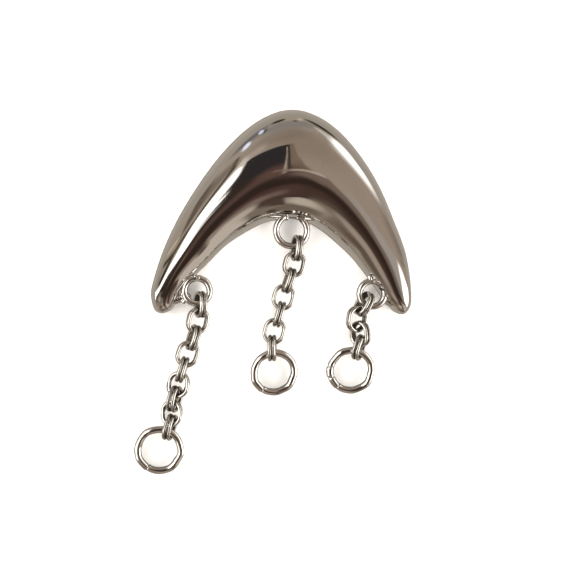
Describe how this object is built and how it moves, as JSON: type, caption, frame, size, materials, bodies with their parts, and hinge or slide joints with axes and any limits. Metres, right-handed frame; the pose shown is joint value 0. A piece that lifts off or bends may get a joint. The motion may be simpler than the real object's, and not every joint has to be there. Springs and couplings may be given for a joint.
{
  "type": "charm holder brooch",
  "caption": "Mirror-polished domed crescent brooch with short doubled-link chains, each ending in a round wire ring that carries charms.",
  "frame": {"origin": "middle of the bounding box at the level of the back rim, on the surface that the brooch lies on", "axes": "+Z out of the domed face, +Y towards the apex of the crescent, with the chains running towards -Y; +X towards the arm with the shortest chain"},
  "size_m": [0.0514, 0.0664, 0.0064],
  "materials": {
    "body_metal": "mirror-polished silver-coloured plating with hairline wear",
    "ring_metal": "polished wire, slightly uneven from the drawing and bending",
    "link_metal": "polished wire",
    "pin_metal": "plain satin"
  },
  "bodies": {
    "root": {"body": "body_metal", "pin_clasp": "pin_metal", "left_charm_ring": "ring_metal", "middle_charm_ring": "ring_metal", "right_charm_ring": "ring_metal", "left_link_1a": "link_metal", "left_link_1b": "link_metal", "left_link_2a": "link_metal", "left_link_2b": "link_metal", "left_link_3a": "link_metal", "left_link_3b": "link_metal", "left_link_4a": "link_metal", "left_link_4b": "link_metal", "left_link_5a": "link_metal", "left_link_5b": "link_metal", "left_link_6a": "link_metal", "left_link_6b": "link_metal", "left_link_7a": "link_metal", "left_link_7b": "link_metal", "left_link_8a": "link_metal", "left_link_8b": "link_metal", "left_link_9a": "link_metal", "left_link_9b": "link_metal", "middle_link_1a": "link_metal", "middle_link_1b": "link_metal", "middle_link_2a": "link_metal", "middle_link_2b": "link_metal", "middle_link_3a": "link_metal", "middle_link_3b": "link_metal", "middle_link_4a": "link_metal", "middle_link_4b": "link_metal", "middle_link_5a": "link_metal", "middle_link_5b": "link_metal", "middle_link_6a": "link_metal", "middle_link_6b": "link_metal", "middle_link_7a": "link_metal", "middle_link_7b": "link_metal", "right_link_1a": "link_metal", "right_link_1b": "link_metal", "right_link_2a": "link_metal", "right_link_2b": "link_metal", "right_link_3a": "link_metal", "right_link_3b": "link_metal", "right_link_4a": "link_metal", "right_link_4b": "link_metal"}
  },
  "joints": []
}
